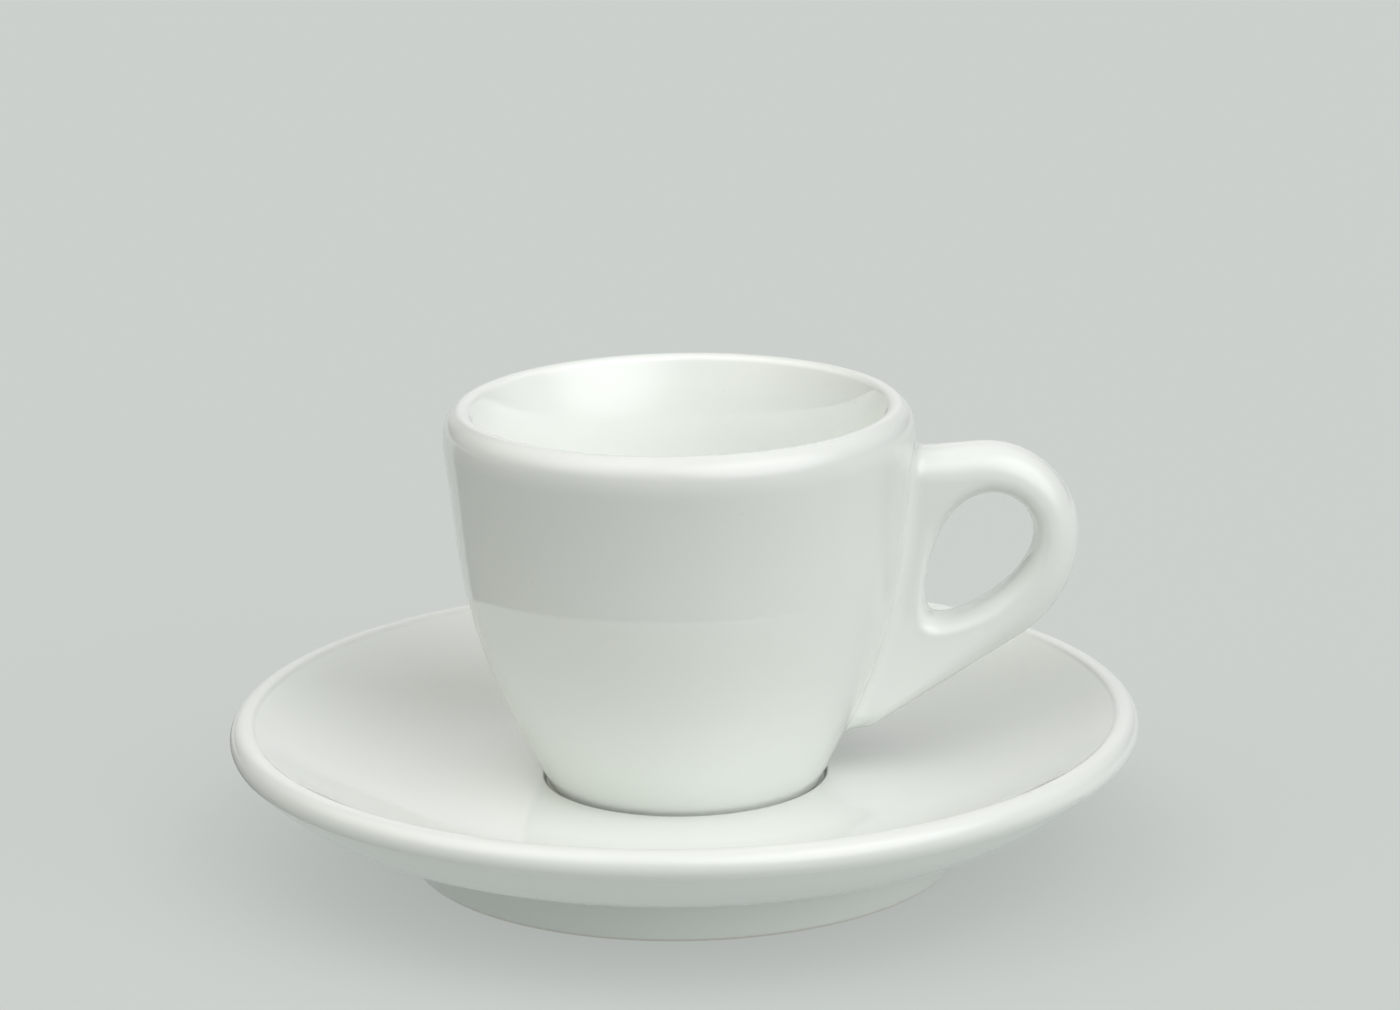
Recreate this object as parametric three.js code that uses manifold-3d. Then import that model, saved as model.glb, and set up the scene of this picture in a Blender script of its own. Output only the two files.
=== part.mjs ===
// Espresso cup and saucer in thick glazed porcelain. The cup has a pierced ear handle and stands in the
// well of its saucer. Millimetres, +Z up, origin under the middle of the saucer, handle towards +X.

import * as THREE from 'three';
import { mergeVertices } from 'three/addons/utils/BufferGeometryUtils.js';
import Module from 'manifold-3d';

const wasm = await Module();
wasm.setup();

// Saucer
const saucerDiameter = 125;
const saucerHeight = 20.6;
const saucerLip = 4.2; // thickness of the rounded lip
const bellyDiameter = 108; // where the underside turns up to the lip
const bellyHeight = 10.2;
const bellyRound = 32;
const dishFloor = 11.2; // height of the dish beside the well
const dishDiameter = 88; // where the dish turns up to the lip
const dishRound = 50;
const wellDepth = 1;
const wellClearance = 2; // between the cup's foot and the side of the well
const wellEdgeRound = 0.7;
const saucerFootDiameter = 76;
const saucerFootWidth = 3.2; // across the ring where it stands on the table
const saucerFootDraft = 1.2; // how much wider the foot ring gets on each side at its root
const saucerFootHeight = 6.3; // from the table to the underside outside the ring
const saucerFootHollow = 5.6; // from the table to the underside inside the ring
const saucerFootFillet = 1.6;

// Cup, with heights measured from the underside of its foot
const cupHeight = 53.4;
const cupRimDiameter = 64.9; // across the walls at the rim, before the lip is rounded
const cupBendDiameter = 58.4; // where the upright wall turns in to the foot
const cupBendHeight = 21;
const cupBendRound = 75;
const cupFootDiameter = 37.2;
const cupFootWidth = 3;
const cupFootHollow = 1.6;
const cupFootDraft = 0.7;
const cupLip = 4.4; // thickness of the rim
const cupLipRoundOutside = 1.8;
const cupLipRoundInside = 2.4;
const cupWall = 4.8; // thickness of the wall at the bend
const cupFloor = 7.5; // height of the inside above the foot
const cupFloorRound = 11;
const footEdgeRound = 0.8; // on the edges of both foot rings

// Handle, with heights measured from the underside of the cup's foot
const handleReach = 21.9; // beyond the cup's rim
const handleThickness = 9;
const handleEdgeRound = 3.2;
const largestEdge = 0.475; // the edge's round as a share of a narrow section's width
const handleDropAtWall = 7.1; // from the rim to the handle's top edge, where it meets the wall
const handleDropOutside = 5.2; // the same at the outer corner, before that is rounded
const handleShoulderRound = 13;
const handleElbowHeight = 24.9; // where the outer side turns down to the tail
const handleElbowRound = 17;
const tailHeight = 7.1;
const tailStandOff = 3.2; // from the wall to the tail's end
const tailDroop = 0.6; // from the tail's end to where its outline stops inside the wall
const tailRound = 3;
const holeLength = 19.4;
const holeWidth = 11.6;
const holeTaper = 0.3; // how much wider the upper end of the egg is, as a share of its width
const holeTilt = THREE.MathUtils.degToRad(54);
const holeFromRim = 7.6; // from the rim's radius out to the middle of the hole
const holeHeight = 31.3;
const rootFlare = 1.3; // how far the handle spreads all round where it meets the wall
const rootFlareReach = 3.5;
const rootDepth = 6; // how far the outline runs on inside the wall before it is trimmed
const slipGap = 0.3; // the joint between the handle and the wall

// Fineness of the curves
const chordSag = 0.08;
const turnSegments = 64;
const handleSections = 72;
const edgeSteps = 4;
const webSteps = 5;

// Sizes that follow from the ones above
const saucerRadius = saucerDiameter / 2;
const saucerLipRound = saucerLip / 2;
const saucerFootRadius = saucerFootDiameter / 2;
const cupRimRadius = cupRimDiameter / 2;
const cupBendRadius = cupBendDiameter / 2;
const cupFootRadius = cupFootDiameter / 2;
const wellRadius = cupFootRadius + wellClearance;
const wellFloor = dishFloor - wellDepth;

// Turns a line of corners [across, up, fillet] into points, with an arc in each corner that has a
// fillet. Fillets that meet on a short edge share it.
function roundCorners(corners) {
  const spots = corners.map(([across, up]) => new THREE.Vector2(across, up));
  const bends = corners.map(([, , fillet = 0], i) => {
    if (!fillet) return { cutback: 0 };
    const back = spots[i - 1].clone().sub(spots[i]).normalize();
    const ahead = spots[i + 1].clone().sub(spots[i]).normalize();
    const halfOpening = Math.acos(back.dot(ahead)) / 2;
    return { back, ahead, halfOpening, cutback: fillet / Math.tan(halfOpening) };
  });
  const share = (i, j) => {
    const wanted = bends[i].cutback + bends[j].cutback;
    return Math.min(1, spots[i].distanceTo(spots[j]) / wanted);
  };
  return spots.flatMap((spot, i) => {
    const { back, ahead, halfOpening, cutback } = bends[i];
    if (!cutback) return [spot];
    const taken = cutback * Math.min(share(i - 1, i), share(i, i + 1));
    const radius = taken * Math.tan(halfOpening);
    const start = spot.clone().addScaledVector(back, taken);
    const inwards = back.clone().add(ahead).normalize();
    const centre = spot.clone().addScaledVector(inwards, radius / Math.sin(halfOpening));
    const sweep = -Math.sign(back.cross(ahead)) * (Math.PI - 2 * halfOpening);
    const steps = Math.ceil(Math.abs(sweep) / (2 * Math.acos(1 - chordSag / radius)));
    const turned = (_, k) => start.clone().rotateAround(centre, (sweep * k) / steps);
    return Array.from({ length: steps + 1 }, turned);
  });
}

// Turns a profile of corners [radius, height, fillet] round the Z axis.
function revolve(corners) {
  return new THREE.LatheGeometry(roundCorners(corners), turnSegments).rotateX(Math.PI / 2);
}

// The height at which a line from a point, laid against a round lip, would cross the lip's outer radius.
// Side is 1 to pass over the lip and -1 to pass under it.
function lipCorner(radius, height, side) {
  const across = saucerRadius - saucerLipRound - radius;
  const up = saucerHeight - saucerLipRound - height;
  const slope = Math.atan2(up, across) + side * Math.asin(saucerLipRound / Math.hypot(across, up));
  return height + (saucerRadius - radius) * Math.tan(slope);
}

function saucerGeometry() {
  const footInside = saucerFootRadius - saucerFootWidth;
  const bellyRadius = bellyDiameter / 2;
  const dishRadius = dishDiameter / 2;
  return revolve([
    [0, saucerFootHollow],
    [footInside - saucerFootDraft, saucerFootHollow, saucerFootFillet],
    [footInside, 0, footEdgeRound],
    [saucerFootRadius, 0, footEdgeRound],
    [saucerFootRadius + saucerFootDraft, saucerFootHeight, saucerFootFillet],
    [bellyRadius, bellyHeight, bellyRound],
    [saucerRadius, lipCorner(bellyRadius, bellyHeight, -1), saucerLipRound],
    [saucerRadius, lipCorner(dishRadius, dishFloor, 1), saucerLipRound],
    [dishRadius, dishFloor, dishRound],
    [wellRadius, dishFloor, wellEdgeRound],
    [wellRadius, wellFloor],
    [0, wellFloor],
  ]);
}

// The outside of the cup's wall from the foot to the rim, grown sideways by a gap.
function wallCorners(gap = 0) {
  return [
    [cupFootRadius + gap, 0],
    [cupBendRadius + gap, cupBendHeight, cupBendRound],
    [cupRimRadius + gap, cupHeight],
  ];
}

const wallPoints = roundCorners(wallCorners());

// The outside radius of the cup's wall at a height, carried on past the foot and the rim.
function wallRadius(height) {
  const above = wallPoints.findIndex((point, i) => i > 0 && point.y >= height);
  const top = above < 0 ? wallPoints.length - 1 : above;
  const low = wallPoints[top - 1];
  const high = wallPoints[top];
  return THREE.MathUtils.mapLinear(height, low.y, high.y, low.x, high.x);
}

function cupBodyGeometry() {
  const [foot, bend, rim] = wallCorners();
  const footInside = cupFootRadius - cupFootWidth;
  const lowerSlope = (cupBendRadius - cupFootRadius) / cupBendHeight;
  const innerBend = cupBendRadius - cupWall * Math.hypot(1, lowerSlope);
  const innerFloor = innerBend - (cupBendHeight - cupFloor) * lowerSlope;
  return revolve([
    [0, cupFootHollow],
    [footInside - cupFootDraft, cupFootHollow, footEdgeRound],
    [footInside, 0],
    [...foot, footEdgeRound],
    bend,
    [...rim, cupLipRoundOutside],
    [cupRimRadius - cupLip, cupHeight, cupLipRoundInside],
    [innerBend, cupBendHeight, cupBendRound],
    [innerFloor, cupFloor, cupFloorRound],
    [0, cupFloor],
  ]);
}

// The handle's outer outline, seen from the side, closed inside the cup's wall.
function handleOutline() {
  const side = cupRimRadius + handleReach;
  const rootHeight = cupHeight - handleDropAtWall;
  const outline = roundCorners([
    [wallRadius(rootHeight) - rootDepth, rootHeight],
    [side, cupHeight - handleDropOutside, handleShoulderRound],
    [side, handleElbowHeight, handleElbowRound],
    [wallRadius(tailHeight) + tailStandOff, tailHeight, tailRound],
    [wallRadius(tailHeight) - rootDepth, tailHeight - tailDroop],
  ]);
  return new THREE.Path(outline).closePath();
}

// The point on the egg-shaped finger hole that faces a point of the outline.
function holePointFacing(point) {
  const middle = new THREE.Vector2(cupRimRadius + holeFromRim, holeHeight);
  const seen = point.clone().rotateAround(middle, -holeTilt).sub(middle);
  const angle = Math.atan2(seen.y / holeWidth, seen.x / holeLength);
  const along = (holeLength / 2) * Math.cos(angle);
  const aside = (holeWidth / 2) * (1 + holeTaper * Math.cos(angle)) * Math.sin(angle);
  return new THREE.Vector2(along, aside).add(middle).rotateAround(middle, holeTilt);
}

// One face of a section from the hole to the outline, in steps [distance from the hole, lean, fullness].
// The surface leans to the hole at -1 and to the outline at 1, and a fullness of 1 is the whole thickness.
function sectionFace(width) {
  const edge = Math.min(handleEdgeRound, largestEdge * width);
  const rounded = Array.from({ length: edgeSteps }, (_, k) => {
    const angle = ((k + 1) / edgeSteps) * (Math.PI / 2);
    return [edge * (1 - Math.cos(angle)), -Math.cos(angle), Math.sin(angle)];
  });
  const web = Array.from({ length: webSteps }, (_, k) => {
    const share = (k + 1) / (webSteps + 1);
    return [THREE.MathUtils.lerp(edge, width - edge, share), 0, 1];
  });
  const mirrored = rounded.map(([distance, lean, fullness]) => [width - distance, -lean, fullness]);
  return [...rounded, ...web, ...mirrored.reverse()];
}

// The handle before it is trimmed: a closed loft round the finger hole, whose sections have rounded
// edges and spread into a flared root as they near the wall.
function handleLoft() {
  const places = [];
  const outline = handleOutline().getSpacedPoints(handleSections).slice(0, -1);
  for (const outer of outline) {
    const inner = holePointFacing(outer);
    const width = inner.distanceTo(outer);
    const outwards = outer.clone().sub(inner).normalize();
    const place = (distance, lean, fullness, face) => {
      const spot = inner.clone().addScaledVector(outwards, distance);
      const half = (fullness * handleThickness) / 2;
      const clear = Math.max(0, Math.hypot(spot.x, half) - wallRadius(spot.y));
      const flare = rootFlare * Math.max(0, 1 - clear / rootFlareReach) ** 2;
      spot.addScaledVector(outwards, lean * flare);
      places.push(spot.x, face * (half + fullness * flare), spot.y);
    };
    const steps = sectionFace(width);
    place(0, -1, 0, 1);
    steps.forEach((step) => place(...step, -1));
    place(width, 1, 0, 1);
    steps.toReversed().forEach((step) => place(...step, 1));
  }
  const ring = places.length / 3 / outline.length;
  const faces = [];
  for (let section = 0; section < outline.length; section += 1) {
    const next = (section + 1) % outline.length;
    for (let k = 0; k < ring; k += 1) {
      const a = section * ring + k;
      const b = section * ring + ((k + 1) % ring);
      const c = next * ring + k;
      const d = next * ring + ((k + 1) % ring);
      faces.push(a, c, b, b, c, d);
    }
  }
  const geometry = new THREE.BufferGeometry();
  geometry.setAttribute('position', new THREE.Float32BufferAttribute(places, 3));
  return geometry.setIndex(faces);
}

function toSolid(geometry) {
  geometry.deleteAttribute('normal');
  geometry.deleteAttribute('uv');
  const { attributes, index } = mergeVertices(geometry);
  const mesh = new wasm.Mesh({
    numProp: 3,
    vertProperties: attributes.position.array,
    triVerts: Uint32Array.from(index.array),
  });
  return new wasm.Manifold(mesh);
}

function toGeometry(solid) {
  const { vertProperties, triVerts } = solid.getMesh();
  const geometry = new THREE.BufferGeometry();
  geometry.setAttribute('position', new THREE.BufferAttribute(vertProperties, 3));
  geometry.setIndex(new THREE.BufferAttribute(triVerts, 1));
  geometry.computeVertexNormals();
  return geometry;
}

// The handle ends on the wall, a slip joint away from it.
function handleGeometry() {
  const trim = revolve([[0, 0], ...wallCorners(slipGap), [0, cupHeight]]);
  return toGeometry(toSolid(handleLoft()).subtract(toSolid(trim)));
}

function piece(name, geometry, color) {
  const glaze = new THREE.MeshStandardMaterial({ color, roughness: 0.12, metalness: 0 });
  const mesh = new THREE.Mesh(geometry, glaze);
  mesh.name = name;
  return mesh;
}

const cup = new THREE.Group();
cup.position.z = wellFloor;
cup.add(piece('cup_body', cupBodyGeometry(), 0xe9ece8));
cup.add(piece('cup_handle', handleGeometry(), 0xe9ece8));

const cupAndSaucer = new THREE.Group();
cupAndSaucer.add(piece('saucer', saucerGeometry(), 0xebeeea));
cupAndSaucer.add(cup);

export default cupAndSaucer;
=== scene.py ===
import math

import bmesh
import bpy
from mathutils import Euler, Matrix, Vector
from mathutils.geometry import intersect_line_line_2d


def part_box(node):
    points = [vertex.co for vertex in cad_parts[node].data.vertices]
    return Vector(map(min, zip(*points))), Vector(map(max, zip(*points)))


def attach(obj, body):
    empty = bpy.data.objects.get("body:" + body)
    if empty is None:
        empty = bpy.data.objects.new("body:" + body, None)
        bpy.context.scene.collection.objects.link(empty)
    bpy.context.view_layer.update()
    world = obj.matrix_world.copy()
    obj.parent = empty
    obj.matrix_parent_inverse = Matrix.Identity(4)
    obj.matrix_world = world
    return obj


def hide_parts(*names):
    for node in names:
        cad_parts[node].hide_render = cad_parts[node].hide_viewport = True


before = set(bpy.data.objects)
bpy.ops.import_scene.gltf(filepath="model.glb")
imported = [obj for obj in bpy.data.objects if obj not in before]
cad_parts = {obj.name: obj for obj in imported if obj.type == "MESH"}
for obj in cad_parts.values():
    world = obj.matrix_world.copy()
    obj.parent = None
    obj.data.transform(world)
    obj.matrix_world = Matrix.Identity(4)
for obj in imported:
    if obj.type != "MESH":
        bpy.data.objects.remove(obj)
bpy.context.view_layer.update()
mm = 0.001  # pieces are drawn in millimetres and shrunk at the end
print("frame loaded:", sorted(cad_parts))


# Drawing helpers

def drawLine(bm, corners, sag=0.003):  # straights and arcs through corners of (across, up, bend radius)
    leastReach = 1e-6  # where neither end of a run bends
    spots = [Vector((across, 0, up)) for across, up, bend in corners]
    runs = [ahead - spot for spot, ahead in zip(spots, spots[1:])]
    turns = [0] + [run.angle(ahead) for run, ahead in zip(runs, runs[1:])] + [0]
    reach = [corner[2] * math.tan(turn / 2) for corner, turn in zip(corners, turns)]
    room = [run.length / max(a + b, leastReach) for run, a, b in zip(runs, reach, reach[1:])]
    tip = bm.verts.new(spots[0])
    for i in range(1, len(spots)):
        taken = reach[i] * min(1, *room[i - 1:i + 1])  # bends that meet on a short run share it
        tip = bmesh.ops.extrude_vert_indiv(bm, verts=[tip])["verts"][0]
        tip.co = spots[i] - runs[i - 1].normalized() * taken
        if taken:
            radius = taken / math.tan(turns[i] / 2)
            inwards = (runs[i].normalized() - runs[i - 1].normalized()).normalized()
            centre = spots[i] + inwards * radius / math.cos(turns[i] / 2)
            steps = math.ceil(turns[i] / (2 * math.acos(1 - sag / radius)))
            axis = runs[i - 1].cross(runs[i]).normalized()
            arc = bmesh.ops.spin(bm, geom=[tip], cent=centre, axis=axis, angle=turns[i], steps=steps)
            tip = arc["geom_last"][0]


def turnOnWheel(corners, steps=192, weld=0.0005):
    bm = bmesh.new()
    drawLine(bm, corners)
    line = bm.verts[:] + bm.edges[:]
    bmesh.ops.spin(bm, geom=line, axis=(0, 0, 1), angle=math.tau, steps=steps, use_merge=True)
    bmesh.ops.remove_doubles(bm, verts=bm.verts, dist=weld)
    bmesh.ops.recalc_face_normals(bm, faces=bm.faces)
    return bm


def finishPiece(bm, name, body, node, glaze):
    bmesh.ops.scale(bm, vec=(mm, mm, mm), verts=bm.verts)
    for face in bm.faces:
        face.smooth = True
    mesh = bpy.data.meshes.new(name)
    bm.to_mesh(mesh)
    bm.free()
    mesh.materials.append(glaze)
    piece = bpy.data.objects.new(name, mesh)
    bpy.context.scene.collection.objects.link(piece)
    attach(piece, body)
    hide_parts(node)
    print(name, "has", len(mesh.polygons), "faces")


# Glaze

colourA, colourB, mixedColour = 6, 7, 2  # sockets of a Mix node set to colours
valueA, valueB, mixedValue = 2, 3, 0     # and of one left on plain values


def addNode(tree, kind, inputs, **settings):  # an input is linked to an output or given a value
    node = tree.nodes.new(kind)
    for name, setting in settings.items():
        setattr(node, name, setting)
    for socket, value in inputs.items():
        if isinstance(value, bpy.types.NodeSocket):
            tree.links.new(value, node.inputs[socket])
        else:
            node.inputs[socket].default_value = value
    return node


glazeInputs = {
    "Glaze": "NodeSocketColor",
    # the second glaze colour and the Inside mask paint the cup's inside brighter, standing in for the light
    # bouncing round in it
    "Painted Bright Inside": "NodeSocketColor",
    "Inside": "NodeSocketFloat",
    "Bare Porcelain": "NodeSocketColor",
    "Foot Height": "NodeSocketFloat",
    "Gloss": "NodeSocketFloat",
}
glazeOutputs = {
    "Color": "NodeSocketColor",
    "Roughness": "NodeSocketFloat",
    "Height": "NodeSocketFloat",
}
glazeLook = dict(
    white=(0.845, 0.875, 0.84, 1),
    insidePaintedBright=(0.91, 0.94, 0.905, 1),  # painted brighter inside the cup, standing in for the light that bounces round in it
    gloss=0.035,
    ior=1.58,
    driftScale=45,      # slow drift in how thick the glaze lies
    driftDetail=2,
    driftDark=0.975,
    driftBright=1.02,
    smearLow=0.7,       # the same drift makes it more and less glossy
    smearHigh=1.3,
    speckScale=160,     # a few pin-sized specks under the glaze
    speckCore=0.02,
    speckEdge=0.045,
    speckStrength=0.08,
    speckColour=(0.36, 0.35, 0.32, 1),
    bareTop=0.0003,     # each foot stands bare up to this height, in metres
    glazeStart=0.0006,
    bareColour=(0.71, 0.69, 0.64, 1),
    bareRoughness=0.75,
    rippleScale=110,    # the glaze is never quite level
    rippleDetail=1,
    rippleStrength=0.06,
    rippleDepth=0.0002,
)


def makeGlazeGroup(look):
    group = bpy.data.node_groups.new("glazeOverPorcelain", "ShaderNodeTree")
    for way, sockets in (("INPUT", glazeInputs), ("OUTPUT", glazeOutputs)):
        for name, kind in sockets.items():
            group.interface.new_socket(name, in_out=way, socket_type=kind)
    given = group.nodes.new("NodeGroupInput")
    place = group.nodes.new("ShaderNodeTexCoord")

    cloud = addNode(group, "ShaderNodeTexNoise", {
        "Vector": place.outputs["Object"],
        "Scale": look["driftScale"],
        "Detail": look["driftDetail"],
    })
    drift = addNode(group, "ShaderNodeMapRange", {
        "Value": cloud.outputs["Fac"],
        "To Min": look["driftDark"],
        "To Max": look["driftBright"],
    })
    # the cup's inside is painted brighter here, standing in for the light bouncing round in it
    coatWithPaintedBrightInside = addNode(group, "ShaderNodeMix", {
        "Factor": given.outputs["Inside"],
        colourA: given.outputs["Glaze"],
        colourB: given.outputs["Painted Bright Inside"],
    }, data_type="RGBA")
    shade = addNode(group, "ShaderNodeMix", {
        "Factor": 1,
        colourA: coatWithPaintedBrightInside.outputs[mixedColour],
        colourB: drift.outputs["Result"],
    }, data_type="RGBA", blend_type="MULTIPLY")

    speck = addNode(group, "ShaderNodeTexVoronoi", {
        "Vector": place.outputs["Object"],
        "Scale": look["speckScale"],
    })
    speckSize = addNode(group, "ShaderNodeMapRange", {
        "Value": speck.outputs["Distance"],
        "From Min": look["speckCore"],
        "From Max": look["speckEdge"],
        "To Min": look["speckStrength"],
        "To Max": 0,
    })
    speckled = addNode(group, "ShaderNodeMix", {
        "Factor": speckSize.outputs["Result"],
        colourA: shade.outputs[mixedColour],
        colourB: look["speckColour"],
    }, data_type="RGBA")

    parts = addNode(group, "ShaderNodeSeparateXYZ", {"Vector": place.outputs["Object"]})
    above = addNode(group, "ShaderNodeMath", {
        0: parts.outputs["Z"],
        1: given.outputs["Foot Height"],
    }, operation="SUBTRACT")
    bare = addNode(group, "ShaderNodeMapRange", {
        "Value": above.outputs["Value"],
        "From Min": look["bareTop"],
        "From Max": look["glazeStart"],
        "To Min": 1,
        "To Max": 0,
    })
    colour = addNode(group, "ShaderNodeMix", {
        "Factor": bare.outputs["Result"],
        colourA: speckled.outputs[mixedColour],
        colourB: given.outputs["Bare Porcelain"],
    }, data_type="RGBA")

    smear = addNode(group, "ShaderNodeMapRange", {
        "Value": cloud.outputs["Fac"],
        "To Min": look["smearLow"],
        "To Max": look["smearHigh"],
    })
    gloss = addNode(group, "ShaderNodeMath", {
        0: smear.outputs["Result"],
        1: given.outputs["Gloss"],
    }, operation="MULTIPLY")
    rough = addNode(group, "ShaderNodeMix", {
        "Factor": bare.outputs["Result"],
        valueA: gloss.outputs["Value"],
        valueB: look["bareRoughness"],
    })

    ripple = addNode(group, "ShaderNodeTexNoise", {
        "Vector": place.outputs["Object"],
        "Scale": look["rippleScale"],
        "Detail": look["rippleDetail"],
    })
    addNode(group, "NodeGroupOutput", {
        "Color": colour.outputs[mixedColour],
        "Roughness": rough.outputs[mixedValue],
        "Height": ripple.outputs["Fac"],
    })
    return group


glazeGroup = makeGlazeGroup(glazeLook)


def makeGlaze(name, look, footHeight):
    material = bpy.data.materials.new(name)
    material.use_nodes = True
    tree = material.node_tree
    # the inside attribute marks where the cup's inside is painted brighter
    inside = addNode(tree, "ShaderNodeAttribute", {}, attribute_name="inside")
    surface = addNode(tree, "ShaderNodeGroup", {
        "Glaze": look["white"],
        "Painted Bright Inside": look["insidePaintedBright"],
        "Inside": inside.outputs["Fac"],
        "Bare Porcelain": look["bareColour"],
        "Foot Height": footHeight,
        "Gloss": look["gloss"],
    }, node_tree=glazeGroup)
    bump = addNode(tree, "ShaderNodeBump", {
        "Strength": look["rippleStrength"],
        "Distance": look["rippleDepth"],
        "Height": surface.outputs["Height"],
    })
    shader = tree.nodes["Principled BSDF"]
    shader.inputs["IOR"].default_value = look["ior"]
    tree.links.new(surface.outputs["Color"], shader.inputs["Base Color"])
    tree.links.new(surface.outputs["Roughness"], shader.inputs["Roughness"])
    tree.links.new(bump.outputs["Normal"], shader.inputs["Normal"])
    return material


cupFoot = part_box("cup_body")[0].z
saucerGlaze = makeGlaze("saucerGlaze", glazeLook, footHeight=0)
cupGlaze = makeGlaze("cupGlaze", glazeLook, footHeight=cupFoot)
print("glazes mixed")


# Saucer

saucerSize = dict(
    radius=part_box("saucer")[1].x / mm,
    height=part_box("saucer")[1].z / mm,
    lip=2.1,            # radius of the rounded lip
    lipCrease=0.5,      # from the lip's top down to the crease where the dish starts
    lipFlank=math.radians(44),
    creaseBend=3,
    bellyRadius=54.5,   # where the underside turns up to the lip
    bellyHeight=10.2,
    bellyBend=30,
    dishRadius=44,      # where the dish turns up to the lip
    dishHeight=11.2,
    dishBend=50,
    wellRadius=19.6,    # at the well's edge
    wellEdge=0.35,
    wellFlat=19.4,      # at the edge of its flat floor
    wellFillet=0.4,
    footOutside=38,
    footInside=34.8,
    footDraft=1.2,
    footHeight=6.3,     # up to the underside outside the ring
    footHollow=5.6,     # up to the underside inside it
    footFillet=1.6,
    footEdge=0.8,
)


def makeSaucer(size):
    across = size["radius"] - size["lip"] - size["bellyRadius"]
    up = size["height"] - size["lip"] - size["bellyHeight"]
    slope = math.atan2(up, across) - math.asin(size["lip"] / math.hypot(across, up))  # laid against the lip
    under = size["bellyHeight"] + (size["radius"] - size["bellyRadius"]) * math.tan(slope)
    lipInside = size["radius"] - size["lip"] * (1 + math.tan(size["lipFlank"] / 2))
    crease = lipInside - size["lipCrease"] / math.tan(size["lipFlank"])
    wellFloor = cupFoot / mm
    return turnOnWheel([
        (0, size["footHollow"], 0),
        (size["footInside"] - size["footDraft"], size["footHollow"], size["footFillet"]),
        (size["footInside"], 0, size["footEdge"]),
        (size["footOutside"], 0, size["footEdge"]),
        (size["footOutside"] + size["footDraft"], size["footHeight"], size["footFillet"]),
        (size["bellyRadius"], size["bellyHeight"], size["bellyBend"]),
        (size["radius"], under, size["lip"]),
        (size["radius"], size["height"], size["lip"]),
        (lipInside, size["height"], size["lip"]),
        (crease, size["height"] - size["lipCrease"], size["creaseBend"]),
        (size["dishRadius"], size["dishHeight"], size["dishBend"]),
        (size["wellRadius"], size["dishHeight"], size["wellEdge"]),
        (size["wellFlat"], wellFloor, size["wellFillet"]),
        (0, wellFloor, 0),
    ])


finishPiece(makeSaucer(saucerSize), "saucerPorcelain", "saucer", "saucer", saucerGlaze)


# Cup, with heights above its foot

cupSize = dict(
    height=(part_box("cup_body")[1].z - cupFoot) / mm,
    rimRadius=32.6,     # before the lip is rounded
    bendRadius=29.2,    # where the upright wall turns in to the foot
    bendHeight=21,
    bend=75,
    footOutside=18.6,
    footInside=15.6,
    footDraft=0.7,
    footHollow=1.6,
    footFillet=0.4,
    footEdge=0.2,
    footRound=0.8,      # where the wall turns under to stand
    lipDrop=4.04,       # from the rim down to where the wall turns in to the lip
    lipBend=12,
    lipTurns=[(0.4, 1.5, 4.4), (2.2, 0, 2.4), (3.6, 0, 2.6)],  # across, down, bend radius
    mouthDrop=8,        # from the rim down to where the inside opens out
    mouthBend=40,
    rimWall=5.8,        # thickness of the wall, carried on up to the rim
    wall=4.8,           # thickness at the bend
    floor=7.5,
    floorBend=11,
    paintedBrightFrom=0.25,     # the painted brighter inside starts where the lip faces the axis this much
    paintedBrightFull=0.75,
    paintedBrightFloor=0.5,     # and covers the floor where it faces up this much
)


def cupWall(size):
    return [
        (size["footOutside"], 0, size["footRound"]),
        (size["bendRadius"], size["bendHeight"], size["bend"]),
        (size["rimRadius"], size["height"], 0),
    ]


def makeCup(size):
    slope = (size["bendRadius"] - size["footOutside"]) / size["bendHeight"]
    insideBend = size["bendRadius"] - size["wall"] * math.hypot(1, slope)
    insideFloor = insideBend - (size["bendHeight"] - size["floor"]) * slope
    insideRim = size["rimRadius"] - size["rimWall"]
    upright = size["height"] - size["bendHeight"]
    foot, bend, rim = cupWall(size)
    shoulder = Vector(rim[:2]).lerp(bend[:2], size["lipDrop"] / upright)
    mouth = Vector((insideRim, size["height"]))
    mouth = mouth.lerp((insideBend, size["bendHeight"]), size["mouthDrop"] / upright)
    bm = turnOnWheel([
        (0, size["footHollow"], 0),
        (size["footInside"] - size["footDraft"], size["footHollow"], size["footFillet"]),
        (size["footInside"], 0, size["footEdge"]),
        foot,
        bend,
        (*shoulder, size["lipBend"]),
        *((shoulder.x - across, size["height"] - down, turn) for across, down, turn in size["lipTurns"]),
        (*mouth, size["mouthBend"]),
        (insideBend, size["bendHeight"], size["bend"]),
        (insideFloor, size["floor"], size["floorBend"]),
        (0, size["floor"], 0),
    ])
    bm.normal_update()
    inside = bm.verts.layers.float.new("inside")
    for vert in bm.verts:  # 1 where the inside is painted brighter: on the inner wall and floor, running out over the lip
        towardsAxis = -vert.normal.xy.dot(vert.co.xy.normalized())
        onWall = (towardsAxis - size["paintedBrightFrom"]) / (size["paintedBrightFull"] - size["paintedBrightFrom"])
        onFloor = vert.co.xy.length < insideBend and vert.normal.z > size["paintedBrightFloor"]
        aboveFoot = vert.co.z > size["floor"] / 2
        vert[inside] = onFloor or min(1, max(0, onWall)) * aboveFoot
    bmesh.ops.translate(bm, vec=(0, 0, cupFoot / mm), verts=bm.verts)
    return bm


finishPiece(makeCup(cupSize), "cupPorcelain", "cup", "cup_body", cupGlaze)


# Handle, with heights above the cup's foot

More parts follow.
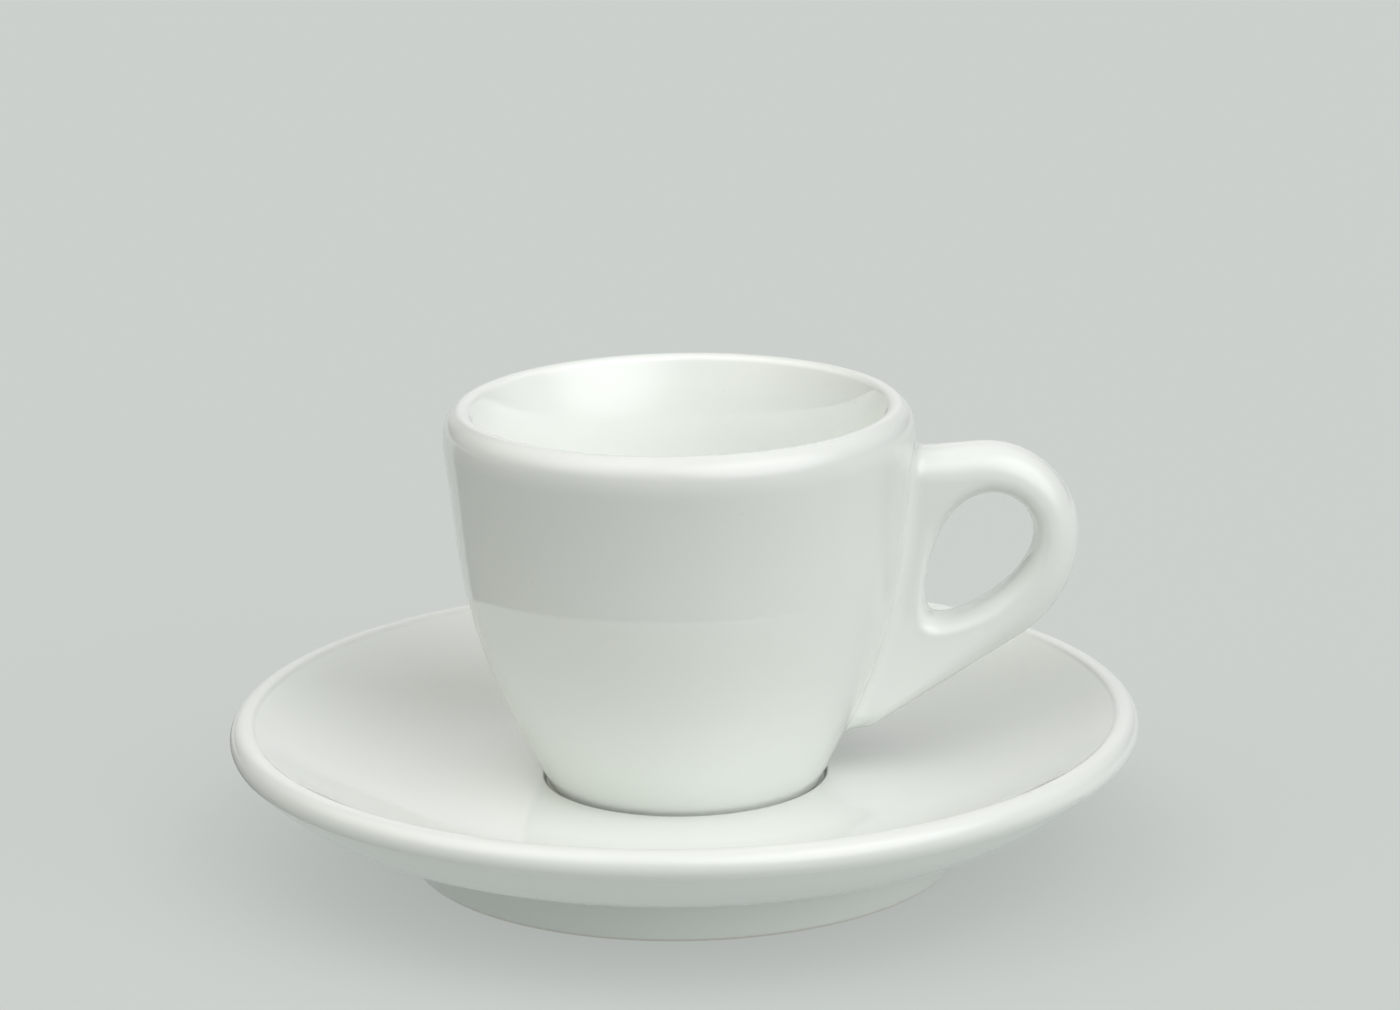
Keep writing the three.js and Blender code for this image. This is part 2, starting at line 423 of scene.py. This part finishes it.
handleSize = dict(
    reach=21.75,        # beyond the cup's rim
    thickness=9,
    outerRound=4.3,
    outerShare=0.6,     # the most of a narrow section that the outer round takes
    holeRound=2.6,
    holeShare=0.36,
    webFlat=0.3,        # left between the hole's edge and the fillet where the hole is next to the wall
    dropAtWall=7.1,     # from the rim to the handle's top edge
    dropOutside=5.2,
    shoulderBend=13,
    elbowHeight=24.9,
    elbowBend=17,
    tailHeight=7.1,
    tailStandOff=3.2,   # from the wall to the tail's end
    tailDroop=0.6,
    tailBend=3,
    rootDepth=6,        # how far the outline runs on inside the wall
    holeLength=19.4,
    holeWidth=11.6,
    holeTaper=0.3,      # how much wider the upper end of the egg is
    holeTilt=math.radians(54),
    holeFromRim=7.45,
    holeHeight=31.3,
    fillet=2.0,         # where the handle runs into the wall
    filletRows=9,
    sink=0.006,         # the fillet's last row lies just under the wall's surface
    capDepth=1,
    sections=240,
    sectionPoints=48,
)


def wallGauge(size):  # gives the outside radius of the cup's wall at a height
    bm = bmesh.new()
    foot, bend, rim = cupWall(size)
    drawLine(bm, [(*foot[:2], 0), bend, rim])
    line = sorted((vert.co.z, vert.co.x) for vert in bm.verts)
    bm.free()

    def radiusAt(height):
        above = next((i for i in range(1, len(line) - 1) if line[i][0] >= height), len(line) - 1)
        (lowZ, lowX), (highZ, highX) = line[above - 1:above + 1]
        return lowX + (highX - lowX) * (height - lowZ) / (highZ - lowZ)

    return radiusAt


def handleSides(size, cup, radiusAt):  # straight pieces of the rounded outline, seen from the side
    bm = bmesh.new()
    outside = cup["rimRadius"] + size["reach"]
    top = cup["height"] - size["dropAtWall"]
    tail = size["tailHeight"]
    drawLine(bm, [
        (radiusAt(top) - size["rootDepth"], top, 0),
        (outside, cup["height"] - size["dropOutside"], size["shoulderBend"]),
        (outside, size["elbowHeight"], size["elbowBend"]),
        (radiusAt(tail) + size["tailStandOff"], tail, size["tailBend"]),
        (radiusAt(tail) - size["rootDepth"], tail - size["tailDroop"], 0),
    ])
    ends = [vert for vert in bm.verts if len(vert.link_edges) == 1]
    bm.edges.new(ends)
    sides = [[vert.co.xz for vert in edge.verts] for edge in bm.edges]
    bm.free()
    return sides


def handleRing(size, cup, radiusAt):  # a doughnut round the finger hole, drawn out to the outline
    ringRadius = 3  # of the plain doughnut, before its points are moved
    farOut = 20     # hole radii, past any part of the outline
    middle = Vector((cup["rimRadius"] + size["holeFromRim"], size["holeHeight"]))
    sides = handleSides(size, cup, radiusAt)
    turn = Matrix.Rotation(size["holeTilt"], 2)
    bm = bmesh.new()
    start = Matrix.Translation((ringRadius, 0, 0))
    bmesh.ops.create_circle(bm, segments=size["sectionPoints"], radius=1, matrix=start)
    loop = bm.verts[:] + bm.edges[:]
    bmesh.ops.spin(bm, geom=loop, axis=(0, 1, 0), angle=math.tau, steps=size["sections"], use_merge=True)
    spans = {}
    for vert in bm.verts:
        around = math.atan2(vert.co.z, vert.co.x)
        across = abs(math.atan2(vert.co.y, math.hypot(vert.co.x, vert.co.z) - ringRadius)) / math.pi
        face = math.copysign(1, vert.co.y)
        step = round(around / math.tau * size["sections"])
        if step not in spans:
            long = size["holeLength"] * math.cos(around)
            wide = size["holeWidth"] * (1 + size["holeTaper"] * math.cos(around)) * math.sin(around)
            ray = turn @ Vector((long, wide)) / 2
            hits = [intersect_line_line_2d(middle, middle + ray * farOut, *side) for side in sides]
            inner, outer = middle + ray, min(hit for hit in hits if hit)
            width = (outer - inner).length
            edge = min(size["outerRound"], size["outerShare"] * width)
            web = inner.x - radiusAt(inner.y) - size["fillet"] - size["webFlat"]
            holeEdge = min(size["holeRound"], size["holeShare"] * width, web)
            spans[step] = inner, outer, width, edge, holeEdge
        inner, outer, width, edge, holeEdge = spans[step]
        lean = min(1, 3 * min(across, 1 - across)) * math.pi / 2  # each round has a third of the points
        if across < 1 / 3:
            share = 1 - edge * (1 - math.cos(lean)) / width
        elif across > 2 / 3:
            share = holeEdge * (1 - math.cos(lean)) / width
        else:
            share = (holeEdge + (width - edge - holeEdge) * (2 - 3 * across)) / width
        spot = inner.lerp(outer, share)
        vert.co = (spot.x, face * size["thickness"] / 2 * math.sin(lean), spot.y)
    bmesh.ops.recalc_face_normals(bm, faces=bm.faces)
    return bm


def makeHandle(size, cup):
    radiusAt = wallGauge(cup)
    bm = handleRing(size, cup, radiusAt)

    def clearance(spot):
        return spot.xy.length - radiusAt(spot.z)

    def setClearance(spot, gap):
        return (*(spot.xy.normalized() * (radiusAt(spot.z) + gap)), spot.z)

    def wallNormal(spot, span=1):
        lean = (radiusAt(spot.z + span / 2) - radiusAt(spot.z - span / 2)) / span
        return Vector((*spot.xy.normalized(), -lean)).normalized()

    def addRow(edges):
        made = bmesh.ops.extrude_edge_only(bm, edges=edges)["geom"]
        return [edge for edge in made if isinstance(edge, bmesh.types.BMEdge) and edge.is_boundary]

    rim = []
    for edge in bm.edges[:]:  # cut the ring off a fillet's width from the wall
        low, high = sorted(edge.verts, key=lambda vert: clearance(vert.co))
        below, above = clearance(low.co) - size["fillet"], clearance(high.co) - size["fillet"]
        if below < 0 < above:
            _, vert = bmesh.utils.edge_split(edge, low, below / (below - above))
            rim.append(vert)
    bmesh.ops.connect_verts(bm, verts=rim)
    bm.normal_update()
    curves = {}
    for vert in rim:
        wall = wallNormal(vert.co)
        along = (-wall + vert.normal * wall.dot(vert.normal)).normalized()
        aside = (vert.normal - wall * wall.dot(vert.normal)).normalized()
        foot = vert.co - along * clearance(vert.co) / along.dot(wall)
        end = foot + aside * (foot - vert.co).length
        curves[vert] = vert.co.copy(), foot, end
    inside = [vert for vert in bm.verts if vert not in curves and clearance(vert.co) < size["fillet"]]
    bmesh.ops.delete(bm, geom=inside, context="VERTS")
    edges = [edge for edge in bm.edges if edge.is_boundary]
    rows = size["filletRows"]
    for row in range(1, rows + 1):  # the rows leave the handle along curves that lie down on the wall
        t = row / rows
        edges = addRow(edges)
        moved = {}
        for vert in {vert for edge in edges for vert in edge.verts}:
            old = next(other.other_vert(vert) for other in vert.link_edges if other not in edges
                       and other.other_vert(vert) in curves)
            start, foot, end = curves[old]
            vert.co = start * (1 - t) ** 2 + foot * 2 * t * (1 - t) + end * t ** 2
            if row == rows:
                vert.co = setClearance(vert.co, -size["sink"])
            moved[vert] = curves[old]
        curves = moved
    for edge in edges:  # so that the hidden skirt doesn't shade the fillet
        edge.smooth = False
    edges = addRow(edges)
    for vert in {vert for edge in edges for vert in edge.verts}:
        vert.co = setClearance(vert.co, -size["capDepth"])
    bmesh.ops.triangle_fill(bm, edges=edges, use_beauty=True)
    bmesh.ops.recalc_face_normals(bm, faces=bm.faces)
    bmesh.ops.translate(bm, vec=(0, 0, cupFoot / mm), verts=bm.verts)
    return bm


finishPiece(makeHandle(handleSize, cupSize), "handlePorcelain", "cup", "cup_handle", cupGlaze)


# Table, lights and camera, in metres

def makeStage(name, bm, height, colour):
    mesh = bpy.data.meshes.new(name)
    bm.to_mesh(mesh)
    bm.free()
    stage = bpy.data.objects.new(name, mesh)
    stage.location.z = height
    bpy.context.scene.collection.objects.link(stage)
    material = bpy.data.materials.new(name)
    material.use_nodes = True
    shader = material.node_tree.nodes["Principled BSDF"]
    shader.inputs["Base Color"].default_value = (*colour, 1)
    mesh.materials.append(material)
    return stage, material.node_tree, shader


tableSetup = dict(
    radius=6,
    steps=96,
    height=-0.00002,    # a hair below the saucer's foot
    colour=(0.17, 0.18, 0.173),
    glow=0.455,         # lit from below, so it takes no hard shadow
    glowColour=(0.95, 1, 0.96),
    paintedShadowDarkest=0.84,       # painted shadow: it glows less close to the saucer
    paintedShadowFrom=0.03,
    paintedShadowTo=0.085,
)


def makeTable(setup):
    bm = bmesh.new()
    bmesh.ops.create_circle(bm, cap_ends=True, segments=setup["steps"], radius=setup["radius"])
    _, tree, shader = makeStage("paleTable", bm, setup["height"], setup["colour"])
    shader.inputs["Specular IOR Level"].default_value = 0
    shader.inputs["Emission Strength"].default_value = setup["glow"]
    place = tree.nodes.new("ShaderNodeTexCoord")
    away = addNode(tree, "ShaderNodeVectorMath", {0: place.outputs["Object"]}, operation="LENGTH")
    # painted shadow round the saucer: the table's glow is dimmed close to it
    paintedShadow = addNode(tree, "ShaderNodeMapRange", {
        "Value": away.outputs["Value"],
        "From Min": setup["paintedShadowFrom"],
        "From Max": setup["paintedShadowTo"],
        "To Min": setup["paintedShadowDarkest"],
    }, interpolation_type="SMOOTHSTEP")
    glow = addNode(tree, "ShaderNodeVectorMath", {
        0: setup["glowColour"],
        "Scale": paintedShadow.outputs["Result"],
    }, operation="SCALE")
    tree.links.new(glow.outputs["Vector"], shader.inputs["Emission Color"])


def showFromAbove(sheet, tree, shader):  # the camera and the table under it don't see the sheet
    side = tree.nodes.new("ShaderNodeNewGeometry")
    seen = addNode(tree, "ShaderNodeMath", {0: 1, 1: side.outputs["Backfacing"]}, operation="SUBTRACT")
    tree.links.new(seen.outputs["Value"], shader.inputs["Alpha"])
    sheet.visible_camera = False


darkCardSetup = dict(
    width=2,
    depth=1,
    near=-0.11,         # its edge next to the saucer
    height=0.0002,
    colour=(0.06, 0.06, 0.05),
    roughness=0.8,
)


def makeDarkCard(setup):  # lies in front of the set and darkens what the porcelain gets from there
    bm = bmesh.new()
    bmesh.ops.create_grid(bm, x_segments=1, y_segments=1, size=0.5)
    bmesh.ops.scale(bm, vec=(setup["width"], setup["depth"], 1), verts=bm.verts)
    bmesh.ops.translate(bm, vec=(0, setup["near"] - setup["depth"] / 2, 0), verts=bm.verts)
    card, tree, shader = makeStage("darkCard", bm, setup["height"], setup["colour"])
    shader.inputs["Roughness"].default_value = setup["roughness"]
    showFromAbove(card, tree, shader)


darkFloorSetup = dict(
    inner=0.068,        # starts just outside the saucer's lip
    outer=1.2,
    start=math.radians(-225),
    sweep=math.radians(215),
    steps=96,
    height=0.0004,
    diagonal=(0.7, 0.7, 0),
    fadeFrom=-0.1,      # along the diagonal, from dark at the front left to pale at the back right
    fadeTo=0.05,
    darkest=0.03,
    palest=0.42,
)


def makeDarkFloor(setup):  # the unlit side of the room, seen only as a reflection
    bm = bmesh.new()
    near = bm.verts.new(Matrix.Rotation(setup["start"], 3, "Z") @ Vector((setup["inner"], 0, 0)))
    far = bmesh.ops.extrude_vert_indiv(bm, verts=[near])["verts"][0]
    far.co *= setup["outer"] / setup["inner"]
    line = bm.verts[:] + bm.edges[:]
    bmesh.ops.spin(bm, geom=line, axis=(0, 0, 1), angle=setup["sweep"], steps=setup["steps"])
    bmesh.ops.recalc_face_normals(bm, faces=bm.faces)
    if sum(face.normal.z for face in bm.faces) < 0:
        bmesh.ops.reverse_faces(bm, faces=bm.faces)
    floor, tree, shader = makeStage("darkFloor", bm, setup["height"], (0, 0, 0))
    floor.visible_diffuse = False
    floor.visible_shadow = False
    shader.inputs["Specular IOR Level"].default_value = 0
    shader.inputs["Emission Strength"].default_value = 1
    place = tree.nodes.new("ShaderNodeTexCoord")
    along = addNode(tree, "ShaderNodeVectorMath", {
        0: place.outputs["Object"],
        1: setup["diagonal"],
    }, operation="DOT_PRODUCT")
    fade = addNode(tree, "ShaderNodeMapRange", {
        "Value": along.outputs["Value"],
        "From Min": setup["fadeFrom"],
        "From Max": setup["fadeTo"],
        "To Min": setup["darkest"],
        "To Max": setup["palest"],
    })
    tree.links.new(fade.outputs["Result"], shader.inputs["Emission Color"])
    showFromAbove(floor, tree, shader)


studioLamps = dict(  # soft round glows: bearing and height in degrees, bright core, faded edge, strength
    key=dict(bearing=-45, height=40, core=10, edge=45, strength=2.35, colour=(1, 1, 1)),
    top=dict(bearing=0, height=90, core=15, edge=60, strength=0.37, colour=(1, 1, 1)),
    left=dict(bearing=180, height=55, core=10, edge=45, strength=0.78, colour=(1, 1, 0.9)),
    frontLeft=dict(bearing=-135, height=50, core=10, edge=40, strength=0.78, colour=(1, 1, 1)),
    back=dict(bearing=90, height=12, core=5, edge=35, strength=0.65, colour=(1, 1, 1)),
)
roomLight = 0.05


def makeStudio(lamps):
    world = bpy.data.worlds.new("studio")
    world.use_nodes = True
    tree = world.node_tree
    place = tree.nodes.new("ShaderNodeTexCoord")
    total = addNode(tree, "ShaderNodeCombineXYZ", dict.fromkeys("XYZ", roomLight))
    for lamp in lamps.values():
        turn = Euler((0, -math.radians(lamp["height"]), math.radians(lamp["bearing"])))
        aim = addNode(tree, "ShaderNodeVectorMath", {
            0: place.outputs["Generated"],
            1: turn.to_matrix() @ Vector((1, 0, 0)),
        }, operation="DOT_PRODUCT")
        glow = addNode(tree, "ShaderNodeMapRange", {
            "Value": aim.outputs["Value"],
            "From Min": math.cos(math.radians(lamp["edge"])),
            "From Max": math.cos(math.radians(lamp["core"])),
        }, interpolation_type="SMOOTHSTEP")
        total = addNode(tree, "ShaderNodeVectorMath", {
            0: glow.outputs["Result"],
            1: Vector(lamp["colour"]) * lamp["strength"],
            2: total.outputs["Vector"],
        }, operation="MULTIPLY_ADD")
    tree.links.new(total.outputs["Vector"], tree.nodes["Background"].inputs["Color"])
    bpy.context.scene.world = world


cameraSetup = dict(
    target=Vector((2.667, 0, 49.155)) * mm,
    distance=624 * mm,
    elevation=math.radians(15),
    roll=math.radians(-1.0),
    lens=117.68,        # in millimetres, as the sensor
    sensor=36,
)


def makeCamera(setup):
    lens = bpy.data.cameras.new("camera")
    lens.lens = setup["lens"]
    lens.sensor_width = setup["sensor"]
    camera = bpy.data.objects.new("camera", lens)
    back = Vector((0, -math.cos(setup["elevation"]), math.sin(setup["elevation"])))
    aim = (-back).to_track_quat("-Z", "Y").to_matrix().to_4x4()
    place = Matrix.Translation(setup["target"] + back * setup["distance"])
    camera.matrix_world = place @ aim @ Matrix.Rotation(setup["roll"], 4, "Z")
    bpy.context.scene.collection.objects.link(camera)
    bpy.context.scene.camera = camera


makeTable(tableSetup)
makeDarkCard(darkCardSetup)
makeDarkFloor(darkFloorSetup)
makeStudio(studioLamps)
makeCamera(cameraSetup)
bpy.context.scene.view_settings.view_transform = "Standard"
print("table, lights and camera set")
